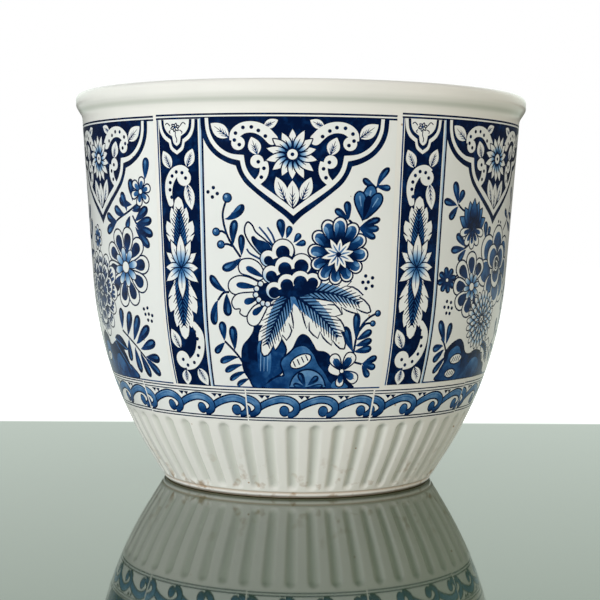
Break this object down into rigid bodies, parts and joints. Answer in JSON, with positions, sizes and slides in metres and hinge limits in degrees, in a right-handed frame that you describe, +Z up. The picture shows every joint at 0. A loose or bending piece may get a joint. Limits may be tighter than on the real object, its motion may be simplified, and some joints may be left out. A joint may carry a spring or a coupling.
{
  "type": "cachepot",
  "caption": "Round tapered cachepot with rolled lip, fluted lower wall and foot ring, dressed with blue-on-white printed flower panels and a wave border; holds a plant in its nursery pot.",
  "frame": {"origin": "centre of the foot ring on the surface the pot stands on", "axes": "+Z up along the pot's axis, -Y towards the front panel, +X to the right as seen from the front"},
  "size_m": [0.24, 0.24, 0.2035],
  "materials": {
    "white_glaze": "gloss",
    "panel_colour": "gloss",
    "border_colour": "gloss"
  },
  "bodies": {
    "root": {"vessel": "white_glaze", "panel_print_1": "panel_colour", "panel_print_2": "panel_colour", "panel_print_3": "panel_colour", "panel_print_4": "panel_colour", "panel_print_5": "panel_colour", "panel_print_6": "panel_colour", "border_print_1": "border_colour", "border_print_2": "border_colour", "border_print_3": "border_colour", "border_print_4": "border_colour", "border_print_5": "border_colour", "border_print_6": "border_colour", "border_print_7": "border_colour", "border_print_8": "border_colour", "border_print_9": "border_colour", "border_print_10": "border_colour"}
  },
  "joints": []
}
